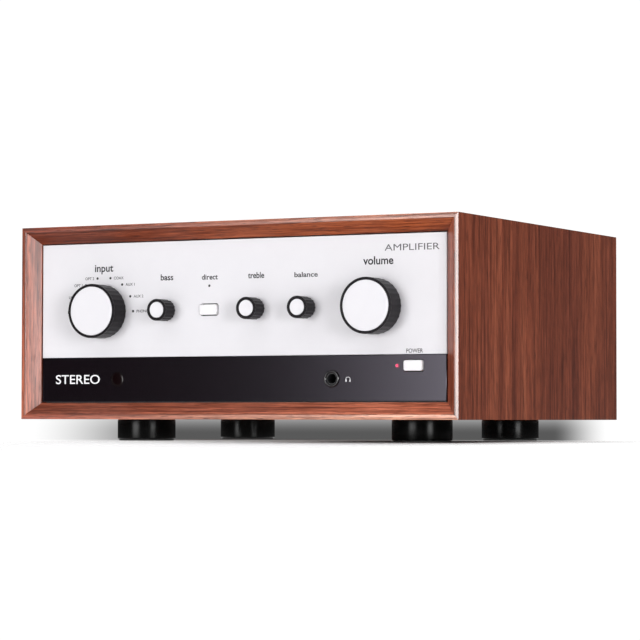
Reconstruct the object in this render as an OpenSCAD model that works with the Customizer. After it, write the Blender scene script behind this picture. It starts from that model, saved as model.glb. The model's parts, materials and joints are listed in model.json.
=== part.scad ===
// Integrated stereo amplifier in a wooden sleeve, as an assembly of separate pieces.
// Millimetres. X points right, Y to the rear, Z up. The origin is on the surface that the
// amplifier stands on, below the middle of its overall box. Controls are on the -Y side.

/* [Cabinet] */
// Width over the side boards
cabinet_w = 326; // [322:1:332]
// Height of the wooden sleeve, without the feet
cabinet_h = 129.5; // [128:0.5:132]
// Depth of the wooden sleeve from its front edge to its rear edge
cabinet_d = 266; // [264:1:270]
// Thickness of the boards
board_t = 11; // [10:0.5:11]
// Width of the flat rim around the front, outside the bevel
rim_w = 3.2; // [2:0.1:5]

/* [Feet] */
// Height of the feet with their pads
foot_h = 14.5; // [12:0.5:18]
// Radius of a foot
foot_r = 19.9; // [15:0.1:22]
// Distance of the feet from the middle plane
foot_x = 105.3; // [90:0.1:120]
// Distance of the front feet behind the cabinet's front edge
front_foot_set = 68; // [50:1:80]
// Distance of the rear feet behind the cabinet's front edge
rear_foot_set = 210; // [190:1:230]
// Thickness of a rubber pad
pad_t = 1.0; // [1:0.1:3]

/* [Front] */
// How far the fascia stands behind the cabinet's front edge
fascia_set = 8; // [7:0.5:9]
// Thickness of the fascia plate and the lower band
fascia_t = 3; // [2.5:0.1:3]
// Gap between the fascia and the boards
fascia_gap = 0.7; // [0.4:0.1:1.2]
// Height of the lower band
band_h = 29.7; // [27:0.1:31]
// Height of the control axes above the cabinet's underside
control_rise = 72; // [70:0.5:74]
// Input knob's distance from the middle plane
input_x = -102.4; // [-106:0.1:-98]
// Bass knob's distance from the middle plane
bass_x = -53.2; // [-58:0.1:-50]
// Direct button's distance from the middle plane
direct_x = -20.8; // [-24:0.1:-18]
// Treble knob's distance from the middle plane
treble_x = 14.2; // [10:0.1:18]
// Balance knob's distance from the middle plane
balance_x = 51.6; // [48:0.1:55]
// Volume knob's distance from the middle plane
volume_x = 102; // [98:0.1:106]

/* [Knobs] */
// How far a large knob stands out of the fascia
large_knob_len = 16; // [15:0.1:18]
// Radius of a large knob
large_knob_r = 18; // [16:0.1:19]
// How far a small knob stands out of the fascia
small_knob_len = 13.5; // [12:0.1:16]
// Radius of a small knob
small_knob_r = 7.2; // [7:0.1:8]
// Flutes around a large knob
large_flutes = 30; // [24:1:36]
// Flutes around a small knob
small_flutes = 18; // [14:1:22]
// Radius of the light disc in a large knob
large_disc_r = 16.2; // [14:0.1:16.5]
// Radius of the light disc in a small knob
small_disc_r = 5.2; // [4:0.1:5.5]

/* [Buttons and lights] */
// Width of a front button
button_w = 13; // [11:0.1:13.4]
// Height of a front button
button_h = 6.8; // [5:0.1:7]
// How far a front button stands out of the fascia
button_proud = 1.8; // [1.4:0.1:2.4]
// Clearance around a front button
button_gap = 0.7; // [0.4:0.1:0.8]
// Radius of the arc of input lights
light_arc_r = 23; // [21:0.1:25]
// Number of input lights
light_count = 8; // [4:1:8]
// Radius of a small light
light_r = 0.65; // [0.5:0.05:0.8]

/* [Rear] */
// How far the rear panel's face stands in front of the cabinet's rear edge
rear_recess = 17; // [16:0.5:18]
// How far the speaker posts reach past the cabinet's rear edge
post_past = 2; // [1:0.5:4]
// Radius of the banana socket in a speaker post
banana_r = 2; // [2:0.01:2.05]
// Outer radius of a phono-type socket
phono_r = 4.15; // [4:0.01:4.2]
// Radius of the headphone socket's bore
headphone_r = 3.25; // [3.2:0.01:3.3]

/* [Inside] */
// Thickness of the steel sheet
sheet_t = 1.2; // [1:0.1:1.4]
// Height of the boards' standoffs
standoff_h = 9.3; // [8:0.1:11]
// Outer radius of the transformer
coil_r = 54; // [48:1:56]
// Height of the transformer's winding
coil_h = 50; // [44:1:54]
// Number of fins on the heatsink
fin_count = 14; // [10:1:16]

/* [Hidden] */
$fn = 64;
cut = 1;
walnut = [0.45, 0.25, 0.18];
satin_white = [0.93, 0.92, 0.94];
black = [0.06, 0.06, 0.06];
steel = [0.7, 0.7, 0.72];
brass = [0.8, 0.65, 0.3];
board_green = [0.08, 0.3, 0.16];

// Overall places
overall_d = cabinet_d + (large_knob_len - fascia_set) + post_past;
cabinet_front = -overall_d / 2 + large_knob_len - fascia_set;
cabinet_back = cabinet_front + cabinet_d;
cabinet_top = foot_h + cabinet_h;
bevel = board_t - rim_w;
inner_w = cabinet_w - 2 * board_t;
inner_bottom = foot_h + board_t;
inner_top = cabinet_top - board_t;
fascia_y = cabinet_front + fascia_set;
fascia_w = inner_w - 2 * fascia_gap;
fascia_bottom = inner_bottom + fascia_gap;
fascia_top = inner_top - fascia_gap;
band_top = fascia_bottom + band_h;
control_z = foot_h + control_rise;
foot_ys = [cabinet_front + front_foot_set, cabinet_front + rear_foot_set];
foot_places = [for (x = [-foot_x, foot_x], y = foot_ys) [x, y]];
knob_xs = [input_x, bass_x, treble_x, balance_x, volume_x];
small_xs = [bass_x, treble_x, balance_x];

// Depths behind the fascia's face, measured to the rear
flange_front = fascia_t;
flange_back = fascia_t + sheet_t;
front_board_at = 15.8;
pcb_t = 1.6;

// Rotary controls
knob_gap = 0.8;
shaft_r = 3;
shaft_clear = 0.05;
bush_r = 3.5;
nut_hole_r = 6.2;
nut_r = 5.6;
nut_t = 2;
flat_at = 1.5;
shaft_in = 12.6;
disc_t = 0.8;
disc_sink = 0.2;

// Lower band
power_at = [128.3, foot_h + 34.2];
power_light_at = [116.6, foot_h + 34.2];
power_light_r = 1.5;
headphone_at = [70, foot_h + 26.2];
headphone_len = 30;
headphone_bush_r = 4.4;
headphone_ring_r = 5.65;
window_at = [-91.6, foot_h + 26.4];
window_r = 4.9;
direct_at = [direct_x, control_z];
direct_light_at = [direct_x + 0.1, control_z + 15.7];
button_holes = [direct_at, power_at];

// Chassis
tray_w = 300;
tray_z = inner_bottom + sheet_t;
side_lip_h = 24;
ear_w = 8;
ear_h = 92;
rear_face = cabinet_back - rear_recess;
rear_inner = rear_face - sheet_t;
flange_y = fascia_y + flange_front;
rear_screw_z = tray_z + 6;
rear_screws = [[-146, 40], [-146, 105], [146, 40], [146, 105], [-60, rear_screw_z], [60, rear_screw_z]];
screw_r = 1.5;
screw_head_r = 2.75;
screw_head_h = 1.8;
screw_len = 6;

// Main board
main_x = [-22, 113];
main_y = [-62, 98];
main_z = tray_z + standoff_h;
main_top = main_z + pcb_t;
standoff_r = 3.2;
standoff_places = [for (x = [-17, 42, 101], y = [-57, 93]) [x, y]];

// Transformer, standing on the tray
coil_at = [-88, -20];
coil_hole_r = 17;
coil_gap = 2;
coil_pad_r = 40;
coil_round = 9;
bolt_r = 4;

// Rear sockets, as places on the panel [x, z]
phono_xs = [74, 92, 110, 128];
phono_rows = [72, 90];
coax_x = 52;
phono_places = [for (x = concat([coax_x], phono_xs), z = phono_rows) [x, z]];
phono_len = 9.5;
phono_gap = 0.5;
phono_neck_r = 3.9;
optical_places = [[32, 72], [32, 90]];
optical_hole = 6.2;
optical_depth = 8;
usb_at = [10, 81];
usb_w = 8.6;
usb_h = 8;
usb_depth = 12;
post_places = [[-22, 66], [-41, 66], [-66, 66], [-85, 66]];
post_r = 4;
post_clear = 0.06;
post_base_t = 2.6;
cap_r = 7.6;
cap_gap = 0.4;
cap_back = rear_face + post_base_t + cap_gap;
post_end = cabinet_back + post_past;
ground_at = [128, 52];
ground_r = 2;
inlet_x = -126;
inlet_z = 52;
rocker_z = 84;
inlet_flange_t = 2.5;
inlet_body_w = 27;
inlet_body_z = [40, 97];
inlet_flange_w = 31;
inlet_depth = 22;
rocker_hole_w = 13;
rocker_hole_h = 19;
rocker_r = 9.2;
rocker_w = 12.4;
rocker_axis_y = rear_face - 1.5;
rocker_tilt = 10;
input_board_y = rear_inner - 11.8;

// Heatsink, standing on the tray at the right
sink_x = 114;
sink_t = 6;
sink_fin = 26;
sink_y = [-60, 95];
sink_h = 84;
device_ys = [-40, 0, 40, 80];

// A round bar or hole along Y, at a place [x, z] on the front or the rear
module bar_y(at, y, length, r) {
    translate([at[0], y, at[1]]) rotate([-90, 0, 0]) cylinder(h = length, r = r);
}

// A rectangular block around a place [x, z]
module block_y(at, y, length, w, h) {
    translate([at[0] - w / 2, y, at[1] - h / 2]) cube([w, length, h]);
}

// A block with rounded long edges, around a place [x, z]
module soft_block_y(at, y, length, w, h, r) {
    translate([at[0], y, at[1]]) rotate([-90, 0, 0]) linear_extrude(length)
        hull() for (sx = [-1, 1], sy = [-1, 1])
            translate([sx * (w / 2 - r), sy * (h / 2 - r)]) circle(r, $fn = 32);
}

// Puts a control that is drawn along +Z on the fascia, facing forwards
module on_fascia(x, z) {
    translate([x, fascia_y, z]) rotate([90, 0, 0]) children();
}

// ---- Cabinet ----

// One board of the sleeve: outer face at z = 0, front edge at y = 0, mitred at both ends
module sleeve_board(length) {
    half = length / 2;
    difference() {
        translate([0, cabinet_d, 0]) rotate([90, 0, 0]) linear_extrude(cabinet_d)
            polygon([[-half, 0], [half, 0], [half - board_t, -board_t], [board_t - half, -board_t]]);
        translate([-half, 0, 0]) rotate([90, 0, 90]) linear_extrude(length)
            polygon([[-cut, cut - rim_w], [bevel + cut, -board_t - cut], [-cut, -board_t - cut]]);
    }
}

module top_board() {
    color(walnut) translate([0, cabinet_front, cabinet_top]) sleeve_board(cabinet_w);
}

module bottom_board() {
    slot_w = 3;
    slot_l = 60;
    color(walnut) difference() {
        translate([0, cabinet_front, foot_h]) rotate([0, 180, 0]) sleeve_board(cabinet_w);
        for (at = foot_places) translate([at[0], at[1], foot_h - cut])
            cylinder(h = board_t + 2 * cut, r = 2.3);
        for (x = [-80, 50], i = [0:5]) translate([x + i * 9, -slot_l / 2, foot_h - cut])
            cube([slot_w, slot_l, board_t + 2 * cut]);
    }
}

module left_board() {
    color(walnut) translate([-cabinet_w / 2, cabinet_front, foot_h + cabinet_h / 2])
        rotate([0, -90, 0]) sleeve_board(cabinet_h);
}

module right_board() {
    color(walnut) translate([cabinet_w / 2, cabinet_front, foot_h + cabinet_h / 2])
        rotate([0, 90, 0]) sleeve_board(cabinet_h);
}

// ---- Feet ----

module feet() {
    lip = 0.6;
    recess_r = 4.6;
    recess_top = 8;
    outline = [[0, pad_t], [foot_r - 3 * lip, pad_t], [foot_r - lip, pad_t + lip],
        [foot_r, pad_t + 3 * lip], [foot_r, foot_h - lip], [foot_r - lip, foot_h], [0, foot_h]];
    color(black) for (at = foot_places) translate([at[0], at[1], 0]) difference() {
        rotate_extrude() polygon(outline);
        translate([0, 0, pad_t - cut]) cylinder(h = recess_top - pad_t + cut, r = recess_r);
        cylinder(h = foot_h + cut, r = 2.3);
    }
}

module foot_pads() {
    color([0.1, 0.1, 0.1]) for (at = foot_places) translate([at[0], at[1], 0])
        cylinder(h = pad_t, r = foot_r - 1.1);
}

module foot_screws() {
    head_h = 2.6;
    seat = 8;
    color(steel) for (at = foot_places) translate([at[0], at[1], 0]) {
        translate([0, 0, seat - head_h]) difference() {
            union() {
                cylinder(h = head_h, r = 4);
                cylinder(h = head_h + tray_z - seat + 2, r = 2);
            }
            translate([0, 0, -cut]) cylinder(h = 1.5 + cut, r = 1.2, $fn = 6);
        }
    }
}

// ---- Front ----

module fascia_plate() {
    hole_len = fascia_t + 2 * cut;
    color(satin_white) difference() {
        translate([-fascia_w / 2, fascia_y, band_top]) cube([fascia_w, fascia_t, fascia_top - band_top]);
        for (x = knob_xs) bar_y([x, control_z], fascia_y - cut, hole_len, nut_hole_r);
        soft_block_y(direct_at, fascia_y - cut, hole_len, button_w + 2 * button_gap,
            button_h + 2 * button_gap, 2);
        for (at = light_places()) bar_y(at, fascia_y - cut, hole_len, light_r);
    }
}

module lower_band() {
    hole_len = fascia_t + 2 * cut;
    seam = 0.15;
    color(black) difference() {
        translate([-fascia_w / 2, fascia_y, fascia_bottom]) cube([fascia_w, fascia_t, band_h - seam]);
        soft_block_y(power_at, fascia_y - cut, hole_len, button_w + 2 * button_gap,
            button_h + 2 * button_gap, 2);
        bar_y(power_light_at, fascia_y - cut, hole_len, power_light_r);
        bar_y(headphone_at, fascia_y - cut, hole_len, headphone_bush_r);
        bar_y(window_at, fascia_y - cut, hole_len, window_r);
    }
}

// Places of the small lights: an arc above the input knob and one above the direct button
function light_places() = concat(
    [for (i = [0:light_count - 1]) let (a = -90 + 180 * i / (light_count - 1))
        [input_x + light_arc_r * sin(a), control_z + light_arc_r * cos(a)]],
    [direct_light_at]);

// A light pipe: a thin pin through the fascia and a thicker body back to the front board
module light_pipe(at, r) {
    bar_y(at, fascia_y, flange_back + cut, r);
    bar_y(at, fascia_y + flange_back + 0.1, front_board_at - flange_back - 0.1, 1.5);
}

module input_lights() {
    color([0.5, 0.5, 0.5]) for (at = light_places()) light_pipe(at, light_r);
}

module power_light() {
    color([0.9, 0.1, 0.1]) union() {
        bar_y(power_light_at, fascia_y - 0.3, flange_back + cut, power_light_r);
        bar_y(power_light_at, fascia_y + flange_back + 0.1, front_board_at - flange_back - 0.1, 2);
    }
}

module remote_window() {
    color([0.12, 0.05, 0.08]) bar_y(window_at, fascia_y, fascia_t, window_r);
}

module headphone_socket() {
    body = 14;
    color(black) difference() {
        union() {
            bar_y(headphone_at, fascia_y, flange_back + cut, headphone_bush_r);
            block_y(headphone_at, fascia_y + flange_back, headphone_len - flange_back + 2, body, body);
        }
        bar_y(headphone_at, fascia_y - cut, headphone_len + cut, headphone_r);
    }
}

module headphone_ring() {
    ring_t = 1.2;
    color(steel) difference() {
        bar_y(headphone_at, fascia_y - ring_t, ring_t, headphone_ring_r);
        bar_y(headphone_at, fascia_y - ring_t - cut, ring_t + 2 * cut, headphone_r + 0.5);
    }
}

// ---- Rotary controls, drawn along +Z with the fascia's face at z = 0 ----

module shaft_section(from, to) {
    difference() {
        translate([0, 0, from]) cylinder(h = to - from, r = shaft_r);
        translate([flat_at, -2 * shaft_r, from - cut]) cube([shaft_r, 4 * shaft_r, to - from + 2 * cut]);
    }
}

module control_shaft(knob_len) {
    tip = knob_len - 5;
    color(steel) union() {
        translate([0, 0, -shaft_in]) cylinder(h = shaft_in + knob_gap, r = shaft_r);
        shaft_section(knob_gap, tip);
    }
}

module knob_body(r, length, flutes, disc_r, flute_r, flute_depth) {
    chamfer = 0.7;
    front = length;
    outline = [[0, knob_gap], [r, knob_gap], [r, front - chamfer], [r - chamfer, front], [0, front]];
    color(black) difference() {
        rotate_extrude() polygon(outline);
        for (i = [0:flutes - 1]) rotate(i * 360 / flutes)
            translate([r + flute_r - flute_depth, 0, 0]) cylinder(h = length + cut, r = flute_r, $fn = 24);
        translate([0, 0, front - disc_t - disc_sink]) cylinder(h = disc_t + cut, r = disc_r);
        shaft_section(0, length - 5);
    }
}

module knob_disc(length, disc_r) {
    color(satin_white) translate([0, 0, length - disc_t - disc_sink]) cylinder(h = disc_t, r = disc_r);
}

module large_knob() {
    knob_body(large_knob_r, large_knob_len, large_flutes, large_disc_r, 2.1, 0.6);
}

module small_knob() {
    knob_body(small_knob_r, small_knob_len, small_flutes, small_disc_r, 1.3, 0.4);
}

module input_knob() { on_fascia(input_x, control_z) large_knob(); }
module volume_knob() { on_fascia(volume_x, control_z) large_knob(); }
module bass_knob() { on_fascia(bass_x, control_z) small_knob(); }
module treble_knob() { on_fascia(treble_x, control_z) small_knob(); }
module balance_knob() { on_fascia(balance_x, control_z) small_knob(); }
module input_knob_disc() { on_fascia(input_x, control_z) knob_disc(large_knob_len, large_disc_r); }
module volume_knob_disc() { on_fascia(volume_x, control_z) knob_disc(large_knob_len, large_disc_r); }
module bass_knob_disc() { on_fascia(bass_x, control_z) knob_disc(small_knob_len, small_disc_r); }
module treble_knob_disc() { on_fascia(treble_x, control_z) knob_disc(small_knob_len, small_disc_r); }
module balance_knob_disc() { on_fascia(balance_x, control_z) knob_disc(small_knob_len, small_disc_r); }
module input_shaft() { on_fascia(input_x, control_z) control_shaft(large_knob_len); }
module volume_shaft() { on_fascia(volume_x, control_z) control_shaft(large_knob_len); }
module bass_shaft() { on_fascia(bass_x, control_z) control_shaft(small_knob_len); }
module treble_shaft() { on_fascia(treble_x, control_z) control_shaft(small_knob_len); }
module balance_shaft() { on_fascia(balance_x, control_z) control_shaft(small_knob_len); }

// The threaded bush of a control, and the shaft's running bore through it
module bush() {
    translate([0, 0, -flange_back - cut]) cylinder(h = flange_back + cut - 0.4, r = bush_r);
}

module shaft_bore() {
    translate([0, 0, -shaft_in - 0.4]) cylinder(h = shaft_in + cut, r = shaft_r + shaft_clear);
}

module input_encoder() {
    body_d = 9.5;
    color([0.3, 0.3, 0.35]) on_fascia(input_x, control_z) difference() {
        union() {
            bush();
            translate([-6.5, -6.5, -flange_back - body_d]) cube([13, 13, body_d]);
            translate([-5, -6, -front_board_at]) cube([10, 2, front_board_at - flange_back - body_d + cut]);
        }
        shaft_bore();
    }
}

module tone_pots() {
    body_d = 9.8;
    color([0.3, 0.3, 0.35]) for (x = small_xs) on_fascia(x, control_z) difference() {
        union() {
            bush();
            translate([0, 0, -flange_back - body_d]) cylinder(h = body_d, r = 8);
            translate([-5, -7, -front_board_at]) cube([10, 2, front_board_at - flange_back - body_d + cut]);
        }
        shaft_bore();
    }
}

module volume_pot() {
    body_d = 26;
    motor_l = 30;
    color([0.3, 0.3, 0.35]) on_fascia(volume_x, control_z) difference() {
        union() {
            bush();
            translate([-13, -13, -flange_back - body_d]) cube([26, 26, body_d]);
            translate([0, 0, -flange_back - body_d - motor_l]) cylinder(h = motor_l + cut, r = 9);
        }
        shaft_bore();
    }
}

module pot_nuts() {
    color(steel) for (x = knob_xs) on_fascia(x, control_z) translate([0, 0, -flange_front]) difference() {
        cylinder(h = nut_t, r = nut_r, $fn = 6);
        translate([0, 0, -cut]) cylinder(h = nut_t + 2 * cut, r = bush_r);
    }
}

// ---- Buttons ----

// A button cap that passes through its hole, held by a flange behind the steel, with a stem
module button(at) {
    flange_t = 1.2;
    flange_at = fascia_y + flange_back + 0.1;
    stem_end = fascia_y + 10.4;
    color(satin_white) union() {
        soft_block_y(at, fascia_y - button_proud, button_proud + flange_back + 0.5, button_w, button_h, 1.3);
        block_y(at, flange_at, flange_t, button_w + 3, button_h + 3);
        bar_y(at, flange_at, stem_end - flange_at, 2);
    }
}

module direct_button() { button(direct_at); }
module power_button() { button(power_at); }

// ---- Chassis ----

module chassis_tray() {
    flange_h = fascia_top - 2 - inner_bottom;
    tray_d = rear_inner - flange_y;
    lip_y = rear_inner - sheet_t;
    color(steel) difference() {
        union() {
            translate([-tray_w / 2, flange_y, inner_bottom]) cube([tray_w, tray_d, sheet_t]);
            translate([-tray_w / 2, flange_y, inner_bottom]) cube([tray_w, sheet_t, flange_h]);
            for (x = [-tray_w / 2, tray_w / 2 - sheet_t]) translate([x, flange_y, inner_bottom])
                cube([sheet_t, tray_d, side_lip_h]);
            translate([-tray_w / 2, lip_y, inner_bottom]) cube([tray_w, sheet_t, 12]);
            for (x = [-tray_w / 2, tray_w / 2 - ear_w]) translate([x, lip_y, inner_bottom])
                cube([ear_w, sheet_t, ear_h]);
        }
        for (x = knob_xs) bar_y([x, control_z], flange_y - cut, sheet_t + 2 * cut, bush_r);
        for (at = light_places()) bar_y(at, flange_y - cut, sheet_t + 2 * cut, light_r + 0.2);
        bar_y(power_light_at, flange_y - cut, sheet_t + 2 * cut, power_light_r + 0.2);
        bar_y(headphone_at, flange_y - cut, sheet_t + 2 * cut, headphone_bush_r);
        bar_y(window_at, flange_y - cut, sheet_t + 2 * cut, 3);
        for (at = button_holes) block_y(at, flange_y - cut, sheet_t + 2 * cut,
            button_w + button_gap, button_h + button_gap);
        for (at = rear_screws) bar_y(at, lip_y - cut, sheet_t + 2 * cut, screw_r);
        for (at = foot_places) translate([at[0], at[1], inner_bottom - cut])
            cylinder(h = sheet_t + 2 * cut, r = 2);
        translate([coil_at[0], coil_at[1], inner_bottom - cut]) cylinder(h = sheet_t + 2 * cut, r = bolt_r);
        for (x = [-80, 50], i = [0:5]) translate([x + i * 9, -30, inner_bottom - cut])
            cube([3, 60, sheet_t + 2 * cut]);
    }
}

module rear_panel() {
    panel_h = fascia_top - fascia_bottom;
    hole_len = sheet_t + 2 * cut;
    hole_y = rear_inner - cut;
    color([0.12, 0.12, 0.13]) difference() {
        translate([-fascia_w / 2, rear_inner, fascia_bottom]) cube([fascia_w, sheet_t, panel_h]);
        for (at = phono_places) bar_y(at, hole_y, hole_len, phono_neck_r);
        for (at = optical_places) block_y(at, hole_y, hole_len, 10, 10);
        block_y(usb_at, hole_y, hole_len, usb_w + 2.4, usb_h + 2.4);
        for (at = post_places) bar_y(at, hole_y, hole_len, post_r);
        for (at = rear_screws) bar_y(at, hole_y, hole_len, screw_r);
        bar_y(ground_at, hole_y, hole_len, ground_r);
        translate([inlet_x - inlet_body_w / 2, hole_y, inlet_body_z[0]])
            cube([inlet_body_w, hole_len, inlet_body_z[1] - inlet_body_z[0]]);
        for (x = [-90:10:130]) translate([x - 1.5, hole_y, 106]) cube([3, hole_len, 18]);
    }
}

module panel_screws() {
    color(steel) union() {
        for (at = rear_screws) {
            bar_y(at, rear_face, screw_head_h, screw_head_r);
            bar_y(at, rear_face - screw_len, screw_len + 0.2, screw_r);
        }
        for (at = standoff_places) translate([at[0], at[1], main_top]) {
            cylinder(h = screw_head_h, r = screw_head_r);
            translate([0, 0, -screw_len]) cylinder(h = screw_len + 0.2, r = screw_r);
        }
    }
}

// ---- Inside ----

module board_standoffs() {
    color(brass) for (at = standoff_places) translate([at[0], at[1], tray_z]) difference() {
        cylinder(h = standoff_h, r = standoff_r, $fn = 6);
        translate([0, 0, 2]) cylinder(h = standoff_h, r = screw_r);
    }
}

// Outline of the transformer's winding, with round edges made of short arcs
function coil_outline() = [for (corner = [[1, 1, 0], [-1, 1, 90], [-1, -1, 180], [1, -1, 270]],
    a = [0:18:90]) [
        (coil_r + coil_hole_r) / 2 + corner[0] * ((coil_r - coil_hole_r) / 2 - coil_round)
            + coil_round * cos(corner[2] + a),
        coil_h / 2 + corner[1] * (coil_h / 2 - coil_round) + coil_round * sin(corner[2] + a)]];

module transformer() {
    color([0.75, 0.6, 0.3]) translate([coil_at[0], coil_at[1], tray_z + coil_gap])
        rotate_extrude() polygon(coil_outline());
    color(black) translate([coil_at[0], coil_at[1], tray_z]) difference() {
        cylinder(h = coil_gap + 0.1, r = coil_pad_r);
        translate([0, 0, -cut]) cylinder(h = coil_gap + 3 * cut, r = coil_hole_r);
    }
}

module transformer_clamp() {
    plate_z = tray_z + coil_gap + coil_h;
    color(steel) translate([coil_at[0], coil_at[1], plate_z]) difference() {
        cylinder(h = 2, r = 30);
        translate([0, 0, -cut]) cylinder(h = 4, r = bolt_r);
    }
}

module transformer_bolt() {
    head_z = tray_z + coil_gap + coil_h + 2;
    color(steel) translate([coil_at[0], coil_at[1], 0]) union() {
        translate([0, 0, head_z]) cylinder(h = 5.3, r = 7.2, $fn = 6);
        translate([0, 0, inner_bottom + 0.2]) cylinder(h = head_z - inner_bottom, r = bolt_r);
    }
}

module main_board() {
    relay_ys = [50, 66, 82];
    color(board_green) difference() {
        translate([main_x[0], main_y[0], main_z])
            cube([main_x[1] - main_x[0], main_y[1] - main_y[0], pcb_t]);
        for (at = standoff_places) translate([at[0], at[1], main_z - cut])
            cylinder(h = pcb_t + 2 * cut, r = screw_r + 0.1);
    }
    color([0.2, 0.2, 0.22]) union() {
        for (y = relay_ys) translate([62, y - 6, main_top - 0.2]) cube([20, 12, 16]);
        translate([20, -50, main_top - 0.2]) cube([30, 6, 20]);
        translate([-16, 62, main_top - 0.2]) cube([22, 8, 10]);
        for (x = [70, 82, 94], y = [-48, -32]) translate([x, y, main_top - 0.2]) cylinder(h = 12, r = 5);
        translate([60, -16, main_top - 0.2]) cube([36, 5, 8]);
    }
}

module front_board() {
    y = fascia_y + front_board_at;
    board_x = [-134, 144];
    board_z = [36, 120];
    switch_d = 3.6;
    color(board_green) difference() {
        translate([board_x[0], y, board_z[0]])
            cube([board_x[1] - board_x[0], pcb_t, board_z[1] - board_z[0]]);
        block_y([volume_x, control_z], y - cut, pcb_t + 2 * cut, 30, 30);
        block_y([headphone_at[0], headphone_at[1] - 4], y - cut, pcb_t + 2 * cut, 18, 28);
    }
    color([0.2, 0.2, 0.22]) union() {
        for (at = button_holes) block_y(at, y - switch_d, switch_d + 0.2, 6, 6);
        block_y([window_at[0], window_at[1] + 2], y - 6, 6.2, 7, 8);
        block_y([30, 110], y + pcb_t - 0.2, 6.2, 40, 6);
        block_y([-60, 60], y + pcb_t - 0.2, 2.2, 14, 14);
    }
}

module input_board() {
    color(board_green) translate([-4, input_board_y, 62]) cube([146, pcb_t, 38]);
    color([0.2, 0.2, 0.22]) union() {
        translate([70, input_board_y - 6, 77]) cube([50, 6.2, 6]);
        translate([20, input_board_y - 2, 74]) cube([14, 2.2, 14]);
    }
}

module heatsink() {
    depth = sink_y[1] - sink_y[0];
    pitch = (depth - 2) / (fin_count - 1);
    color([0.55, 0.56, 0.58]) union() {
        translate([sink_x, sink_y[0], tray_z]) cube([sink_t, depth, sink_h]);
        for (i = [0:fin_count - 1]) translate([sink_x + sink_t - cut, sink_y[0] + i * pitch, tray_z])
            cube([sink_fin + cut, 2, sink_h]);
    }
}

module output_transistors() {
    device_t = 4.8;
    device_z = main_top + 8;
    color(black) for (y = device_ys) {
        translate([sink_x - device_t, y - 7.8, device_z]) cube([device_t, 15.6, 20]);
        for (pin = [-1, 0, 1]) translate([sink_x - device_t + 1, y + pin * 5.4 - 0.5, main_top])
            cube([0.8, 1, device_z - main_top + 0.2]);
    }
}

module filter_capacitors() {
    color([0.1, 0.1, 0.3]) for (x = [0, 38], y = [-24, 16]) translate([x, y, main_top])
        cylinder(h = 50, r = 17.5);
}

// A wire through its points, as straight lengths with round joints
module wire(points, r) {
    for (i = [0:len(points) - 2]) hull() {
        translate(points[i]) sphere(r, $fn = 10);
        translate(points[i + 1]) sphere(r, $fn = 10);
    }
}

module wiring() {
    // Places where leads end: the inlet's back, the winding's side, the board's connectors
    inlet_end_y = rear_face - inlet_depth - 1.3;
    secondary_top = main_top + 11;
    post_end_y = rear_inner - 9.2;
    color([0.8, 0.2, 0.1]) for (i = [0, 1])
        wire([[-122 + i * 8, inlet_end_y, 60], [-122 + i * 8, 76, 52], [-114 + i * 5, 48, 44],
            [-104 + i * 5, 32.8 + i * 1.2, 42]], 1.4);
    color([0.2, 0.3, 0.8]) for (i = [0:2])
        wire([[-53.2, 22.8, 44 + i * 4], [-40, 45, 50 + i * 4], [-26, 60, 58 + i * 3],
            [-14 + i * 7, 66, 60 + i * 3], [-14 + i * 7, 66, secondary_top]], 1.3);
    color([0.15, 0.15, 0.15]) for (i = [0:3])
        wire([[65 + i * 4, 89.2, 45], [40 - i * 10, 100, 50 + i * 3],
            [post_places[i][0], 102, 62], [post_places[i][0], post_end_y, post_places[i][1]]], 1.3);
    ribbon();
}

// A flat cable from the front board's connector, back and down to the main board's
module ribbon() {
    start_y = fascia_y + front_board_at + pcb_t + 5;
    top_z = 106;
    drop_y = -47.5;
    block_top = main_top + 19.8;
    color([0.7, 0.7, 0.7]) union() {
        translate([20, start_y, top_z]) cube([30, drop_y + 1 - start_y, 1]);
        translate([20, drop_y, block_top]) cube([30, 1, top_z + 1 - block_top]);
    }
}

// ---- Rear ----

module mains_inlet() {
    socket_w = 24.4;
    socket_h = 17;
    socket_d = 16;
    corner = 5;
    flange_h = inlet_body_z[1] - inlet_body_z[0] + 6;
    mid_z = (inlet_body_z[0] + inlet_body_z[1]) / 2;
    face = rear_face + inlet_flange_t;
    shape = [[-socket_w / 2, -socket_h / 2], [socket_w / 2, -socket_h / 2],
        [socket_w / 2, socket_h / 2 - corner], [socket_w / 2 - corner, socket_h / 2],
        [corner - socket_w / 2, socket_h / 2], [-socket_w / 2, socket_h / 2 - corner]];
    color(black) difference() {
        union() {
            block_y([inlet_x, mid_z], rear_face - inlet_depth, inlet_depth + cut, inlet_body_w,
                inlet_body_z[1] - inlet_body_z[0]);
            block_y([inlet_x, mid_z], rear_face, inlet_flange_t, inlet_flange_w, flange_h);
        }
        translate([inlet_x, face + cut, inlet_z]) rotate([90, 0, 0]) linear_extrude(socket_d + cut)
            polygon(shape);
        block_y([inlet_x, rocker_z], rear_face - 13, 13 + inlet_flange_t + cut, rocker_hole_w, rocker_hole_h);
    }
    color(steel) for (pin = [[-7, 2], [0, -2], [7, 2]])
        block_y([inlet_x + pin[0], inlet_z - pin[1]], face - socket_d - cut, 11, 2, 4);
}

// The rocker rests tipped to its off side, and turns about an axis along X
module mains_rocker() {
    slab_front = 4.4;
    slab_back = 5;
    color([0.1, 0.1, 0.1]) translate([inlet_x, rocker_axis_y, rocker_z]) rotate([rocker_tilt, 0, 0])
        intersection() {
            translate([-rocker_w / 2, 0, 0]) rotate([0, 90, 0]) cylinder(h = rocker_w, r = rocker_r);
            translate([-rocker_w, -slab_back, -2 * rocker_r])
                cube([2 * rocker_w, slab_back + slab_front, 4 * rocker_r]);
        }
}

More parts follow.
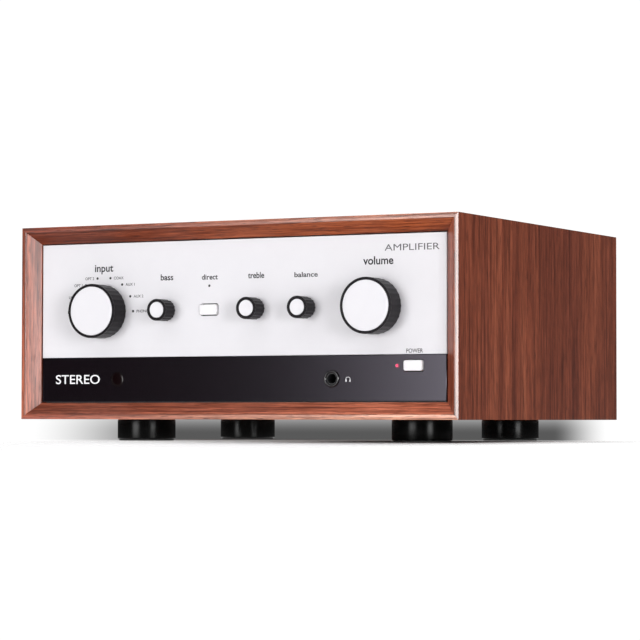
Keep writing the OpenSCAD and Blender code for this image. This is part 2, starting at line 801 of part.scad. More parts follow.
// A phono-type socket: outer sleeve, insulated core and a block behind the panel
module phono_socket(at) {
    block_d = rear_inner - input_board_y - pcb_t;
    color(brass) difference() {
        union() {
            bar_y(at, rear_inner - cut, sheet_t + phono_gap + 2 * cut, phono_neck_r);
            bar_y(at, rear_face + phono_gap, phono_len - phono_gap, phono_r);
            block_y(at, input_board_y + pcb_t, block_d, 13, 14);
        }
        difference() {
            bar_y(at, rear_face + 1.5, phono_len, 3.6);
            bar_y(at, rear_face, phono_len + cut, 2.6);
        }
        bar_y(at, rear_face, phono_len + cut, 1.6);
    }
}

module phono_sockets() {
    for (at = phono_places) phono_socket(at);
}

module digital_sockets() {
    block_d = rear_face - input_board_y - pcb_t;
    color([0.15, 0.15, 0.16]) for (at = optical_places) difference() {
        block_y(at, input_board_y + pcb_t, block_d + 1, 9.8, 9.8);
        block_y(at, rear_face + 1 - optical_depth, optical_depth + cut, optical_hole, optical_hole);
    }
    color(steel) difference() {
        block_y(usb_at, input_board_y + pcb_t, block_d + 1, usb_w + 2, usb_h + 2);
        difference() {
            block_y(usb_at, rear_face + 1 - usb_depth, usb_depth + cut, usb_w, usb_h);
            block_y(usb_at, rear_face - usb_depth, usb_depth - 4.5, 5.6, 3.2);
        }
    }
}

module speaker_posts() {
    bore = 14;
    inner_end = rear_inner - 8;
    for (at = post_places) color(brass) difference() {
        union() {
            bar_y(at, inner_end, post_end - inner_end, post_r);
            bar_y(at, rear_face, post_base_t, 8.8);
            bar_y(at, rear_inner - 2.5, 2.5, 7);
        }
        bar_y(at, post_end - bore, bore + cut, banana_r);
    }
}

// A speaker terminal's turning cap, a fluted ring around its post
module speaker_cap(at, tint) {
    length = post_end - cap_back - 1.2;
    flutes = 12;
    color(tint) translate([at[0], cap_back, at[1]]) rotate([-90, 0, 0]) difference() {
        cylinder(h = length, r = cap_r);
        translate([0, 0, -cut]) cylinder(h = length + 2 * cut, r = post_r + post_clear);
        for (i = [0:flutes - 1]) rotate(i * 360 / flutes) translate([cap_r + 1.1, 0, -cut])
            cylinder(h = length + 2 * cut, r = 1.7, $fn = 24);
    }
}

module speaker_cap_1() { speaker_cap(post_places[0], [0.7, 0.05, 0.05]); }
module speaker_cap_2() { speaker_cap(post_places[1], black); }
module speaker_cap_3() { speaker_cap(post_places[2], [0.7, 0.05, 0.05]); }
module speaker_cap_4() { speaker_cap(post_places[3], black); }

module ground_post() {
    color(brass) union() {
        bar_y(ground_at, rear_inner - 4, 15, ground_r);
        bar_y(ground_at, rear_face, 1, 4);
        bar_y(ground_at, rear_inner - 2, 2, 3.5);
    }
}

module ground_nut() {
    nut_l = 5;
    flutes = 18;
    color(brass) translate([ground_at[0], rear_face + 1.2, ground_at[1]]) rotate([-90, 0, 0])
        difference() {
            cylinder(h = nut_l, r = 4.8);
            translate([0, 0, -cut]) cylinder(h = nut_l + 2 * cut, r = ground_r + shaft_clear);
            for (i = [0:flutes - 1]) rotate(i * 360 / flutes) translate([5.1, 0, -cut])
                cylinder(h = nut_l + 2 * cut, r = 0.6, $fn = 16);
        }
}

top_board();
bottom_board();
left_board();
right_board();
feet();
foot_pads();
foot_screws();
fascia_plate();
lower_band();
chassis_tray();
rear_panel();
panel_screws();
input_knob();
input_knob_disc();
input_shaft();
bass_knob();
bass_knob_disc();
bass_shaft();
treble_knob();
treble_knob_disc();
treble_shaft();
balance_knob();
balance_knob_disc();
balance_shaft();
volume_knob();
volume_knob_disc();
volume_shaft();
input_encoder();
tone_pots();
volume_pot();
pot_nuts();
direct_button();
power_button();
remote_window();
headphone_socket();
headphone_ring();
input_lights();
power_light();
transformer();
transformer_clamp();
transformer_bolt();
main_board();
front_board();
input_board();
heatsink();
output_transistors();
filter_capacitors();
board_standoffs();
wiring();
mains_inlet();
mains_rocker();
phono_sockets();
digital_sockets();
speaker_posts();
speaker_cap_1();
speaker_cap_2();
speaker_cap_3();
speaker_cap_4();
ground_post();
ground_nut();
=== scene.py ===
"""The looks of a stereo amplifier in a walnut sleeve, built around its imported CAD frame. Metres."""

import json
import math

import bmesh
import bpy
from mathutils import Matrix, Vector


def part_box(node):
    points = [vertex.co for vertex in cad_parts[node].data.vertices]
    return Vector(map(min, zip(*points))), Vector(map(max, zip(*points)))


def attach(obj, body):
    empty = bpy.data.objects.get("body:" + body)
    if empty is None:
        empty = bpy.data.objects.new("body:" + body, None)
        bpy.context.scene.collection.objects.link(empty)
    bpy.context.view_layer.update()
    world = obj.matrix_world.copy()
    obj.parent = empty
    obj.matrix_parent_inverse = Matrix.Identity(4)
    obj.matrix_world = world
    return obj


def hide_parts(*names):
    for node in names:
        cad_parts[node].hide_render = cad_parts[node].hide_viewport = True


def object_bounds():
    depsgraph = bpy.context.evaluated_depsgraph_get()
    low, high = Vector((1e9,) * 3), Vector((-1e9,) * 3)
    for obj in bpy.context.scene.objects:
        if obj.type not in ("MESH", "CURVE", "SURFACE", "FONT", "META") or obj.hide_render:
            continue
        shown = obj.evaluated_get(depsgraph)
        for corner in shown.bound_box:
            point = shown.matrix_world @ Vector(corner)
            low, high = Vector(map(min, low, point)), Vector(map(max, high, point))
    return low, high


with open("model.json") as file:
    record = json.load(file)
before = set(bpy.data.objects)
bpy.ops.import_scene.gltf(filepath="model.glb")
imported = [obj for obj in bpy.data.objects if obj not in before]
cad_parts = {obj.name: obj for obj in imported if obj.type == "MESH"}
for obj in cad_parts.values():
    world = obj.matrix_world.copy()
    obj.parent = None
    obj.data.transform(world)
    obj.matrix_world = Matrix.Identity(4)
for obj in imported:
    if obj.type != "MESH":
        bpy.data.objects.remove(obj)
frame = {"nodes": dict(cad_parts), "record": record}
cad_box = [list(corner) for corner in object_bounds()]

MM = 0.001
CABINET = "cabinet"
RECORD = frame["record"]
BODY_OF = {node: body for body, nodes in RECORD["behaviour"]["bodies"].items() for node in nodes}


# ---- Node helpers for materials ----

class Shader:
    """A material with one Principled shader, and short calls to add and link nodes."""

    def __init__(self, name):
        self.material = bpy.data.materials.new(name)
        self.material.use_nodes = True
        self.tree = self.material.node_tree
        self.principled = self.tree.nodes["Principled BSDF"]
        self.coordinates = self.tree.nodes.new("ShaderNodeTexCoord").outputs["Object"]

    def set(self, **values):
        for name, value in values.items():
            self.principled.inputs[name.replace("_", " ")].default_value = value
        return self

    def add(self, kind, inputs=(), **properties):
        node = self.tree.nodes.new(kind)
        for name, value in properties.items():
            setattr(node, name, value)
        for name, value in dict(inputs).items():
            if isinstance(value, bpy.types.NodeSocket):
                self.tree.links.new(value, node.inputs[name])
            else:
                node.inputs[name].default_value = value
        return node

    def link(self, output, name):
        self.tree.links.new(output, self.principled.inputs[name])

    def stretched(self, scale, offset=(0, 0, 0)):
        """Object coordinates multiplied by a scale for each axis, so that noise runs along one of them."""
        mapping = self.add("ShaderNodeMapping", {"Vector": self.coordinates})
        mapping.inputs["Scale"].default_value = scale
        mapping.inputs["Location"].default_value = offset
        return mapping.outputs["Vector"]

    def noise(self, vector, scale=1.0, detail=2.0, roughness=0.5, distortion=0.0):
        node = self.add("ShaderNodeTexNoise", {"Vector": vector, "Scale": scale, "Detail": detail,
                                               "Roughness": roughness, "Distortion": distortion})
        return node.outputs["Fac"]

    def ramp(self, factor, stops, interpolation="LINEAR"):
        node = self.add("ShaderNodeValToRGB", {"Fac": factor})
        node.color_ramp.interpolation = interpolation
        elements = node.color_ramp.elements
        for index, (place, colour) in enumerate(stops):
            element = elements[index] if index < 2 else elements.new(place)
            element.position = place
            element.color = (*colour, 1) if len(colour) == 3 else colour
        return node.outputs["Color"]

    def mix(self, factor, first, second, blend="MIX"):
        node = self.add("ShaderNodeMix", data_type="RGBA", blend_type=blend)
        for index, value in ((0, factor), (6, first), (7, second)):
            if isinstance(value, bpy.types.NodeSocket):
                self.tree.links.new(value, node.inputs[index])
            else:
                node.inputs[index].default_value = value if index == 0 else (*value, 1)
        return node.outputs[2]

    def remap(self, factor, low, high, from_low=0.3, from_high=0.7):
        node = self.add("ShaderNodeMapRange", {"Value": factor, "From Min": from_low, "From Max": from_high,
                                               "To Min": low, "To Max": high})
        return node.outputs["Result"]

    def bump(self, height, distance, strength=1.0, normal=None):
        inputs = {"Height": height, "Distance": distance, "Strength": strength}
        if normal is not None:
            inputs["Normal"] = normal
        return self.add("ShaderNodeBump", inputs).outputs["Normal"]


def grained(name, colour, roughness, metallic=0.0, grain=(900, 900, 900), bump=0.00001,
            spread=0.06, rough_spread=0.06, emission=None, **sockets):
    """A surface whose colour, roughness and height vary finely, along a grain where one axis is stretched."""
    shader = Shader(name)
    fine = shader.noise(shader.stretched(grain), detail=4.0)
    broad = shader.noise(shader.stretched([0.04 * value for value in grain]), detail=2.0)
    dark = [value * (1 - spread) for value in colour]
    light = [min(1.0, value * (1 + spread)) for value in colour]
    blotch = shader.ramp(broad, [(0.3, dark), (0.7, light)])
    speck = shader.ramp(fine, [(0.3, dark), (0.7, light)])
    shader.link(shader.mix(0.5, blotch, speck), "Base Color")
    smoothest, roughest = max(0.02, roughness - rough_spread), roughness + rough_spread
    shader.link(shader.remap(fine, smoothest, roughest), "Roughness")
    shader.link(shader.bump(fine, bump), "Normal")
    shader.set(Metallic=metallic, **sockets)
    if emission is not None:
        shader.set(Emission_Color=(*emission[0], 1), Emission_Strength=emission[1])
    return shader.material


WALNUT_DARK = (0.080, 0.017, 0.010)
WALNUT_MID = (0.160, 0.039, 0.020)
WALNUT_LIGHT = (0.250, 0.074, 0.040)
WALNUT_PORE = (0.045, 0.010, 0.006)
# Axes of the grain, and where in the pattern the level and the upright boards are cut from
LENGTHWISE, UPRIGHT = 0, 2
LEVEL_CUT = (0.3, 0.1, 0.7)
TOP_BEVEL_CUT = (0.6, 0.5, 0.1)
UPRIGHT_CUT = (0.9, 0.4, 0.2)


def walnut(name, along, offset, tint=(1, 1, 1), gloss=0.3, lighter=None, **finish):
    """Lacquered walnut veneer. along is the axis of the grain.

    lighter is a tint that the colour drifts to along X, from the cabinet's left side to its right side. On
    the level rims it is a painted highlight, whitish towards the right end; on the bevels the colour only
    gets lighter towards the right.
    """
    def scale(across, length):
        return [length if axis == along else across for axis in range(3)]
    shader = Shader(name)
    figure = shader.noise(shader.stretched(scale(20, 1.6), offset), detail=2.0, distortion=0.9)
    band = shader.noise(shader.stretched(scale(160, 3), offset), detail=4.0, roughness=0.6, distortion=0.3)
    line = shader.noise(shader.stretched(scale(430, 9), offset), detail=5.0, roughness=0.72, distortion=0.1)
    hair = shader.noise(shader.stretched(scale(1300, 50), offset), detail=3.0, roughness=0.6)
    pore = shader.noise(shader.stretched(scale(2300, 95), offset), detail=1.0)
    base = shader.ramp(figure, [(0.18, WALNUT_DARK), (0.82, WALNUT_LIGHT), (0.5, WALNUT_MID)])
    bands = shader.ramp(band, [(0.30, (0.88, 0.85, 0.85)), (0.70, (1.09, 1.12, 1.12)), (0.5, (1, 1, 1))])
    lines = shader.ramp(line, [(0.38, (0.52, 0.46, 0.44)), (0.60, (1.48, 1.64, 1.72)), (0.48, (1, 1, 1))])
    hairs = shader.ramp(hair, [(0.32, (0.58, 0.54, 0.52)), (0.64, (1.38, 1.46, 1.50))])
    colour = base
    for layer in (bands, lines, hairs):
        colour = shader.mix(1.0, colour, layer, "MULTIPLY")
    colour = shader.mix(1.0, colour, tint, "MULTIPLY")
    # A tint along X: on the level rims a painted highlight towards the right end; on the bevels only lighter
    # towards the right
    if lighter is not None:
        place = shader.add("ShaderNodeSeparateXYZ", {"Vector": shader.coordinates}).outputs["X"]
        drift = shader.ramp(shader.remap(place, 0.0, 1.0, -0.13, 0.1), [(0.0, (1, 1, 1)), (1.0, lighter)])
        colour = shader.mix(1.0, colour, drift, "MULTIPLY")
    pore_mask = shader.remap(pore, 0.8, 0.0, 0.31, 0.40)
    shader.link(shader.mix(pore_mask, colour, WALNUT_PORE), "Base Color")
    shader.link(shader.remap(line, 0.35, 0.27), "Roughness")
    groove = shader.bump(pore_mask, -0.00003, 0.6)
    shader.link(shader.bump(hair, 0.000012, 0.5, groove), "Normal")
    shader.set(Specular_IOR_Level=gloss, **finish)
    return shader.material


MATERIALS = {
    "walnut": walnut("walnut_lengthwise", LENGTHWISE, LEVEL_CUT),
    "fascia_white": grained("fascia_white", (0.775, 0.762, 0.795), 0.45, grain=(2600, 2600, 2600),
                            spread=0.012, bump=0.000004),
    "band_black": grained("band_black", (0.003, 0.001, 0.002), 0.12, grain=(1800, 1800, 1800), spread=0.25,
                          bump=0.000001, rough_spread=0.02, Specular_Tint=(0.90, 0.84, 1.0, 1)),
    "knob_black": grained("knob_black", (0.006, 0.004, 0.006), 0.36, grain=(2200, 2200, 2200), spread=0.2,
                          bump=0.000008, Specular_IOR_Level=0.13),
    "disc_silver": grained("disc_silver", (0.78, 0.765, 0.80), 0.42, grain=(2400, 2400, 2400), spread=0.015,
                           bump=0.000004),
    "foot_black": grained("foot_black", (0.002, 0.002, 0.002), 0.2, grain=(1500, 1500, 1500), spread=0.3,
                          bump=0.000006, rough_spread=0.05, Specular_IOR_Level=0.12),
    "pad_rubber": grained("pad_rubber", (0.02, 0.02, 0.02), 0.75, grain=(2500, 2500, 2500), spread=0.3,
                          bump=0.00004),
    "bright_steel": grained("bright_steel", (0.55, 0.55, 0.57), 0.3, 0.95, grain=(1500, 1500, 1500)),
    "panel_black": grained("panel_black", (0.02, 0.02, 0.021), 0.48, grain=(4200, 4200, 4200), spread=0.35,
                           bump=0.00004),
    "button_white": grained("button_white", (0.86, 0.85, 0.87), 0.3, grain=(1800, 1800, 1800), spread=0.012,
                            bump=0.000004),
    "light_white": grained("light_white", (0.012, 0.010, 0.013), 0.3, grain=(3000, 3000, 3000), spread=0.3),
    "light_red": grained("light_red", (0.60, 0.03, 0.09), 0.2, grain=(2000, 2000, 2000),
                         emission=((1.0, 0.06, 0.2), 0.55)),
    "window_dark": grained("window_dark", (0.005, 0.0015, 0.002), 0.1, grain=(1500, 1500, 1500), spread=0.2,
                           bump=0.000001, rough_spread=0.03, Specular_IOR_Level=0.14),
    "ring_black": grained("ring_black", (0.008, 0.007, 0.009), 0.16, grain=(900, 3000, 900), bump=0.000003),
    "socket_black": grained("socket_black", (0.022, 0.022, 0.024), 0.45, grain=(2500, 2500, 2500),
                            spread=0.25, bump=0.00003),
    "pot_grey": grained("pot_grey", (0.16, 0.16, 0.18), 0.45, 0.3),
    "coil_copper": grained("coil_copper", (0.62, 0.42, 0.10), 0.35, grain=(300, 300, 2400), spread=0.25,
                           bump=0.0001),
    "pcb_green": grained("pcb_green", (0.03, 0.13, 0.06), 0.35, grain=(700, 700, 700), spread=0.25),
    "sink_alu": grained("sink_alu", (0.42, 0.43, 0.45), 0.36, 0.9, grain=(2000, 60, 60), spread=0.1),
    "device_black": grained("device_black", (0.03, 0.03, 0.03), 0.5, grain=(3000, 3000, 3000), spread=0.3),
    "capacitor_sleeve": grained("capacitor_sleeve", (0.03, 0.03, 0.08), 0.35, grain=(800, 800, 200)),
    "brass_plain": grained("brass_plain", (0.72, 0.52, 0.24), 0.3, 1.0, grain=(2000, 2000, 400)),
    "wire_pvc": grained("wire_pvc", (0.3, 0.04, 0.03), 0.4, grain=(1500, 1500, 1500)),
    "gold_plate": grained("gold_plate", (0.83, 0.60, 0.26), 0.22, 1.0, grain=(1800, 400, 1800), spread=0.04),
    "cap_red": grained("cap_red", (0.42, 0.012, 0.012), 0.25, grain=(1500, 1500, 1500), spread=0.12),
    "cap_black": grained("cap_black", (0.018, 0.018, 0.02), 0.28, grain=(1500, 1500, 1500), spread=0.2),
}
RIM_COAT = {"Coat_Weight": 1.0, "Coat_IOR": 1.65, "Coat_Roughness": 0.2}
# The bevels and the front rims are tinted copies of the walnut. Their brighter tints are painted sheen of the
# light on these faces, and rim_right is tinted brighter than rim_left. rim_level's drift to whitish at the
# right end is a painted highlight; the bevels' drift only makes them lighter towards the right.
EXTRA = {
    "bevel_top": walnut("bevel_top", LENGTHWISE, TOP_BEVEL_CUT, tint=(1.2, 1.0, 0.85),
                        lighter=(1.7, 1.8, 1.3)),
    "bevel_bottom": walnut("bevel_bottom", LENGTHWISE, LEVEL_CUT, tint=(1.35, 1.3, 1.3),
                           lighter=(1.65, 1.6, 1.55)),
    "bevel_upright": walnut("bevel_upright", UPRIGHT, UPRIGHT_CUT, tint=(2.0, 1.9, 1.8), gloss=0.5),
    "walnut_upright": walnut("walnut_upright", UPRIGHT, UPRIGHT_CUT, tint=(1.30, 1.24, 1.15), gloss=0.5),
    "rim_level": walnut("rim_level", LENGTHWISE, LEVEL_CUT, (1.45, 1.05, 0.85),
                        lighter=(2.1, 4.3, 6.0), **RIM_COAT),
    "rim_left": walnut("rim_left", UPRIGHT, UPRIGHT_CUT, (1.7, 1.55, 1.45), **RIM_COAT),
    "rim_right": walnut("rim_right", UPRIGHT, UPRIGHT_CUT, (1.7, 1.8, 1.5), **RIM_COAT),
    "ink_dark": grained("ink_dark", (0.010, 0.008, 0.012), 0.6, grain=(4000, 4000, 4000), spread=0.2),
    "ink_grey": grained("ink_grey", (0.10, 0.095, 0.105), 0.6, grain=(4000, 4000, 4000), spread=0.15),
    "ink_white": grained("ink_white", (0.88, 0.88, 0.9), 0.5, grain=(4000, 4000, 4000), spread=0.03),
    "insulator_white": grained("insulator_white", (0.75, 0.75, 0.74), 0.4, grain=(2500, 2500, 2500)),
    "insulator_red": grained("insulator_red", (0.5, 0.015, 0.015), 0.4, grain=(2500, 2500, 2500)),
    "insulator_orange": grained("insulator_orange", (0.75, 0.2, 0.02), 0.4, grain=(2500, 2500, 2500)),
}


# ---- Mesh helpers ----

SHARP_ANGLE = math.radians(38)


def place_piece(name, mesh, material, body, replaced=(), smooth=True):
    """Links a finished mesh as a piece of the object."""
    piece = bpy.data.objects.new(name, mesh)
    bpy.context.scene.collection.objects.link(piece)
    mesh.materials.clear()
    mesh.materials.append(material)
    for face in mesh.polygons:
        face.use_smooth = smooth
    if smooth:
        mesh.set_sharp_from_angle(angle=SHARP_ANGLE)
    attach(piece, body)
    if replaced:
        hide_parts(*replaced)
    return piece


def mesh_from(bm, name):
    mesh = bpy.data.meshes.new(name)
    bmesh.ops.recalc_face_normals(bm, faces=bm.faces)
    bm.to_mesh(mesh)
    bm.free()
    return mesh


def round_corners(points, radius, steps=3):
    """The points of an open profile with each inner corner taken off by a short curve."""
    points = [Vector(point) for point in points]
    result = [points[0]]
    for before, corner, after in zip(points, points[1:], points[2:]):
        reach = min(radius, 0.45 * (before - corner).length, 0.45 * (after - corner).length)
        start = corner + (before - corner).normalized() * reach
        end = corner + (after - corner).normalized() * reach
        for step in range(steps + 1):
            t = step / steps
            result.append(start * (1 - t) ** 2 + corner * 2 * t * (1 - t) + end * t ** 2)
    return result + [points[-1]]


def turn_profile(bm, profile, centre, axis, segments, shape=None):
    """Turns a profile of (radius, distance along the axis) points around an axis along Y or Z.

    centre is the point of the axis where the distance is zero. shape(radius, along, angle) may change
    the radius. A profile that starts or ends on the axis is closed with a fan.
    """
    rings = []
    for radius, along in profile:
        ring = []
        for index in range(segments):
            angle = 2 * math.pi * index / segments
            r = radius if shape is None else shape(radius, along, angle)
            across, up = r * math.cos(angle), r * math.sin(angle)
            offset = Vector((across, along, up)) if axis == "Y" else Vector((across, up, along))
            ring.append(bm.verts.new(Vector(centre) + offset))
            if radius < 1e-7:
                break
        rings.append(ring)
    for lower, upper in zip(rings, rings[1:]):
        for index in range(segments):
            following = (index + 1) % segments
            corners = [lower[index % len(lower)], lower[following % len(lower)],
                       upper[following % len(upper)], upper[index % len(upper)]]
            corners = [c for position, c in enumerate(corners) if c not in corners[:position]]
            if len(corners) > 2:
                bm.faces.new(corners)


def turned_mesh(name, profiles, segments=96, shape=None):
    """A mesh of one or more turned profiles: each is (profile, centre, axis)."""
    bm = bmesh.new()
    for profile, centre, axis in profiles:
        turn_profile(bm, profile, centre, axis, segments, shape)
    return mesh_from(bm, name)


def turned_about(centre, name, profile, segments, shape=None):
    """A mesh of one profile turned around the line along Y through centre."""
    return turned_mesh(name, [(profile, (centre.x, 0, centre.z), "Y")], segments, shape)


def middle(node):
    low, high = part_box(node)
    return (low + high) / 2


def size(node):
    low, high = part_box(node)
    return high - low


def rounded_outline(x, z, width, height, radius, steps=6):
    """Points of a rectangle with round corners around (x, z)."""
    points = []
    for sign_x, sign_z, start in ((1, 1, 0), (-1, 1, 90), (-1, -1, 180), (1, -1, 270)):
        for step in range(steps + 1):
            angle = math.radians(start + 90 * step / steps)
            points.append((x + sign_x * (width / 2 - radius) + radius * math.cos(angle),
                           z + sign_z * (height / 2 - radius) + radius * math.sin(angle)))
    return points


def circle_outline(x, z, radius, steps=40):
    return [(x + radius * math.cos(2 * math.pi * i / steps), z + radius * math.sin(2 * math.pi * i / steps))
            for i in range(steps)]


def curve_mesh(name, curve):
    """The mesh that a curve or text datablock makes."""
    holder = bpy.data.objects.new(name, curve)
    bpy.context.scene.collection.objects.link(holder)
    bpy.context.view_layer.update()
    evaluated = holder.evaluated_get(bpy.context.evaluated_depsgraph_get())
    mesh = bpy.data.meshes.new_from_object(evaluated)
    bpy.data.objects.remove(holder)
    return mesh


def plate_mesh(name, outlines, front, back, edge):
    """An upright plate between two Y values. outlines is its outline and its holes, as (x, z) points."""
    curve = bpy.data.curves.new(name, "CURVE")
    curve.dimensions = "2D"
    curve.fill_mode = "BOTH"
    for outline in outlines:
        spline = curve.splines.new("POLY")
        spline.points.add(len(outline) - 1)
        for point, (x, z) in zip(spline.points, outline):
            point.co = (x, z, 0, 1)
        spline.use_cyclic_u = True
    curve.bevel_depth = edge
    curve.bevel_resolution = 2
    curve.offset = -edge
    curve.extrude = (back - front) / 2 - edge
    mesh = curve_mesh(name, curve)
    for vertex in mesh.vertices:
        x, z, depth = vertex.co
        vertex.co = (x, (front + back) / 2 - depth, z)
    return mesh


def edge_strip(bm, low, high, across, upright):
    """The soft outer edge of an upright plate, which takes across of its width and upright of its height."""
    land, steps = 0.3 * MM, 4
    rows = [(across + land, upright + land, 0.0)]
    for step in range(steps + 1):
        angle = math.radians(90 * step / steps)
        left = 1 - math.sin(angle)
        rows.append((across * left, upright * left, across * (1 - math.cos(angle))))
    rows.append((0.0, 0.0, high.y - low.y))
    rings = []
    for inset_x, inset_z, behind in rows:
        corners = ((low.x + inset_x, low.z + inset_z), (high.x - inset_x, low.z + inset_z),
                   (high.x - inset_x, high.z - inset_z), (low.x + inset_x, high.z - inset_z))
        rings.append([bm.verts.new((x, low.y + behind, z)) for x, z in corners])
    for lower, upper in zip(rings, rings[1:]):
        for index in range(4):
            following = (index + 1) % 4
            bm.faces.new((lower[index], lower[following], upper[following], upper[index]))
    return [(x, z) for x, _, z in (vertex.co for vertex in rings[0])]


def sheet_mesh(name, low, high, across, upright, holes):
    """A plate that fills the box from low to high, with a soft outer edge and sharp holes."""
    strip = bmesh.new()
    outline = edge_strip(strip, low, high, across, upright)
    bmesh.ops.recalc_face_normals(strip, faces=strip.faces)
    strip.from_mesh(plate_mesh(name, [outline, *holes], low.y, high.y, 0))
    mesh = bpy.data.meshes.new(name)
    strip.to_mesh(mesh)
    strip.free()
    return mesh


def soft_block(bm, low, high, edge, segments=3):
    """Adds a block with rounded edges between two corners."""
    low, high = Vector(low), Vector(high)
    made = bmesh.ops.create_cube(bm, size=1.0)["verts"]
    for vertex in made:
        vertex.co = Vector([low[i] if vertex.co[i] < 0 else high[i] for i in range(3)])
    edges = list({e for v in made for e in v.link_edges})
    bmesh.ops.bevel(bm, geom=edges, offset=edge, segments=segments, profile=0.5, affect="EDGES")


# ---- The walnut sleeve ----

BOARD_T = size("top_board").z
RIM_W = 3.2 * MM
EDGE_SOFT = 0.3 * MM
EDGE_CRISP = 0.12 * MM
MITRE_GAP = 0.03 * MM
# The underside's slots, in millimetres: two groups of six
SLOT_STARTS = (-80, 50)
SLOTS_IN_GROUP = 6
SLOT_STEP = 9
SLOT_W = 3
SLOT_HALF_L = 30


def board_profile():
    """Outline of a board across its length: (distance behind the front edge, depth below the outer face)."""
    depth = size("top_board").y
    bevel = BOARD_T - RIM_W
    corners = [(0, 0), (0, RIM_W), (bevel, BOARD_T), (depth, BOARD_T), (depth, 0)]
    softness = (EDGE_CRISP, EDGE_SOFT, EDGE_CRISP, EDGE_CRISP, EDGE_SOFT)
    closed = [corners[-1], *corners, corners[0]]
    outline = []
    for before, corner, after, soft in zip(closed, closed[1:], closed[2:], softness):
        outline += round_corners([before, corner, after], soft)[1:-1]
    return outline


def board_mesh(name, node, inward, along):
    """A mitred board. inward is the direction from its outer face into the cabinet, along its length."""
    low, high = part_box(node)
    centre = (low + high) / 2
    inward, along = Vector(inward), Vector(along)
    half = abs((high - low).dot(along)) / 2
    outer = centre - inward * (BOARD_T / 2)
    bm = bmesh.new()
    rings = []
    for end in (-1, 1):
        ring = []
        for behind, depth in board_profile():
            place = outer + inward * depth + along * end * (half - depth - MITRE_GAP)
            place.y = low.y + behind
            ring.append(bm.verts.new(place))
        rings.append(ring)
    count = len(rings[0])
    for index in range(count):
        following = (index + 1) % count
        bm.faces.new((rings[0][index], rings[0][following], rings[1][following], rings[1][index]))
    for ring in rings:
        bm.faces.new(ring)
    return mesh_from(bm, name)


def cut_slots(piece, boxes):
    """Cuts boxes, each between two corners, out of a piece."""
    bm = bmesh.new()
    for low, high in boxes:
        for vertex in bmesh.ops.create_cube(bm, size=1.0)["verts"]:
            vertex.co = Vector([low[i] if vertex.co[i] < 0 else high[i] for i in range(3)])
    cutter = bpy.data.objects.new("slot_cutter", mesh_from(bm, "slot_cutter"))
    bpy.context.scene.collection.objects.link(cutter)
    boolean = piece.modifiers.new("slots", "BOOLEAN")
    boolean.object = cutter
    boolean.solver = "EXACT"
    boolean.use_self = True
    bpy.context.view_layer.update()
    cut = bpy.data.meshes.new_from_object(piece.evaluated_get(bpy.context.evaluated_depsgraph_get()))
    piece.modifiers.clear()
    piece.data = cut
    bpy.data.objects.remove(cutter)


def finish_front(piece, rim, bevel):
    """Gives the flat front edge of a board its heavier lacquer, and the bevel its own strip of veneer. Both
    get brighter tints than the board's walnut: painted sheen of the light on these faces.
    """
    piece.data.materials.append(rim)
    piece.data.materials.append(bevel)
    front = min(vertex.co.y for vertex in piece.data.vertices)
    for face in piece.data.polygons:
        if face.center.y < front + 0.5 * MM and face.normal.y < -0.8:
            face.material_index = 1
        elif -0.8 < face.normal.y < -0.5 and face.center.y > front + 1.5 * MM:
            face.material_index = 2


def build_sleeve():
    level = [MATERIALS["walnut"], EXTRA["rim_level"]]
    upright = [EXTRA["walnut_upright"], EXTRA["bevel_upright"]]
    boards = (("top_board", (0, 0, -1), (1, 0, 0), level + [EXTRA["bevel_top"]]),
              ("bottom_board", (0, 0, 1), (1, 0, 0), level + [EXTRA["bevel_bottom"]]),
              ("left_board", (1, 0, 0), (0, 0, 1), [upright[0], EXTRA["rim_left"], upright[1]]),
              ("right_board", (-1, 0, 0), (0, 0, 1), [upright[0], EXTRA["rim_right"], upright[1]]))
    for node, inward, along, (material, rim, bevel) in boards:
        mesh = board_mesh(node + "_veneered", node, inward, along)
        piece = place_piece(node + "_veneered", mesh, material, CABINET, [node])
        if node == "bottom_board":
            low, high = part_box(node)
            slots = []
            for start in SLOT_STARTS:
                for index in range(SLOTS_IN_GROUP):
                    x = (start + SLOT_STEP * index) * MM
                    slots.append(((x, -SLOT_HALF_L * MM, low.z - MM),
                                  (x + SLOT_W * MM, SLOT_HALF_L * MM, high.z + MM)))
            cut_slots(piece, slots)
        finish_front(piece, rim, bevel)


# ---- Fascia, lower band and rear panel ----

NUT_HOLE_R = 6.2 * MM
LIGHT_HOLE_R = 0.65 * MM
WINDOW_HOLE_R = 4.95 * MM
JACK_HOLE_R = 4.5 * MM
POWER_LIGHT_HOLE_R = 1.55 * MM
# How much of a plate's width and of its height its soft edge takes
FASCIA_EDGE = (0.45 * MM, 0.12 * MM)
BAND_EDGE = (0.45 * MM, 0.15 * MM)


def build_front_plates():
    low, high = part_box("fascia_plate")
    holes = [circle_outline(middle(k + "_shaft").x, middle(k + "_shaft").z, NUT_HOLE_R)
             for k in ("input", "bass", "treble", "balance", "volume")]
    holes.append(button_hole("direct_button"))
    holes += [circle_outline(x, z, LIGHT_HOLE_R, 20) for x, z in light_places()]
    mesh = sheet_mesh("fascia_sheet", low, high, *FASCIA_EDGE, holes)
    place_piece("fascia_sheet", mesh, MATERIALS["fascia_white"], CABINET, ["fascia_plate"])

    low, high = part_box("lower_band")
    window, jack, light = middle("remote_window"), middle("headphone_ring"), middle("power_light")
    holes = [circle_outline(window.x, window.z, WINDOW_HOLE_R),
             circle_outline(jack.x, jack.z, JACK_HOLE_R),
             circle_outline(light.x, light.z, POWER_LIGHT_HOLE_R, 24), button_hole("power_button")]
    mesh = sheet_mesh("lower_band_sheet", low, high, *BAND_EDGE, holes)
    place_piece("lower_band_sheet", mesh, MATERIALS["band_black"], CABINET, ["lower_band"])


